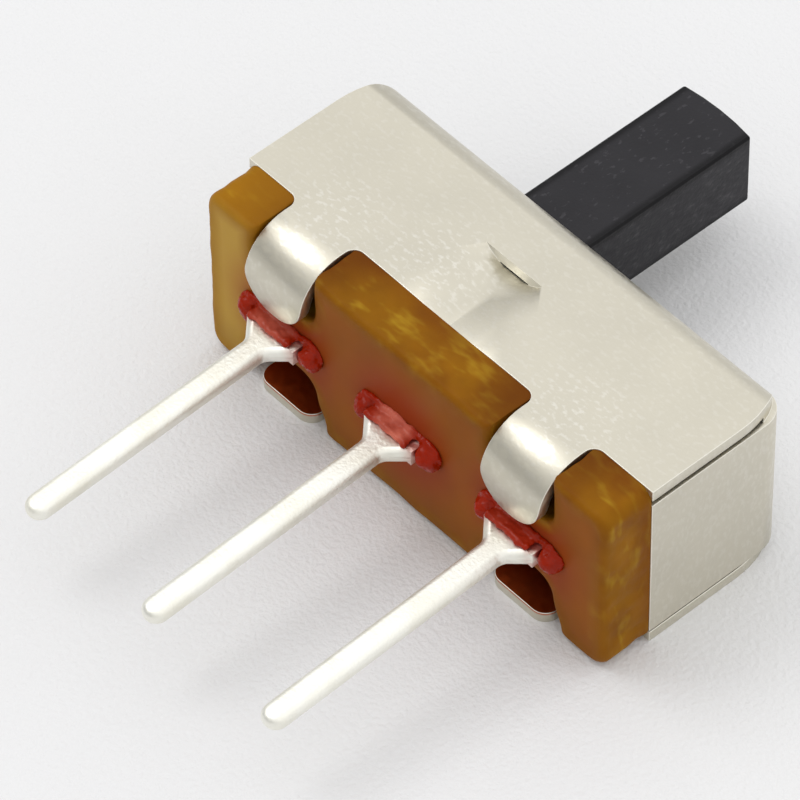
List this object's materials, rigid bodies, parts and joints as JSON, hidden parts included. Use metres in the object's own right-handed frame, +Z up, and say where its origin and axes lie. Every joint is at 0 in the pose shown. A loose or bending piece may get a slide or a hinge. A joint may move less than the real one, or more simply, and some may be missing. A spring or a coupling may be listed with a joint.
{
  "type": "slide switch",
  "caption": "Slide switch in a folded metal shell with a dark lever, a punched brown base board and a row of straight solder pins, lying on its side.",
  "frame": {"origin": "on the surface that the switch lies on, below the middle of the whole switch with its pins and lever", "axes": "+X along the body, +Y from the pins to the lever, +Z up from the surface"},
  "size_m": [0.0086, 0.012, 0.0033],
  "materials": {
    "shell_metal": "satin plating",
    "board_laminate": "punched paper laminate",
    "pin_metal": "bright tin plating",
    "resin": "glossy",
    "slider_plastic": "satin",
    "spring_metal": "bright"
  },
  "bodies": {
    "housing": {"shell": "shell_metal", "base_board": "board_laminate", "terminal_left": "pin_metal", "terminal_common": "pin_metal", "terminal_right": "pin_metal", "seal_left": "resin", "seal_common": "resin", "seal_right": "resin"},
    "slider": {"slider": "slider_plastic", "moving_contact": "spring_metal"}
  },
  "joints": [
    {"name": "slider_travel", "type": "slide", "parent": "housing", "child": "slider", "axis": [1, 0, 0], "range_m": [0, 0.002]}
  ]
}
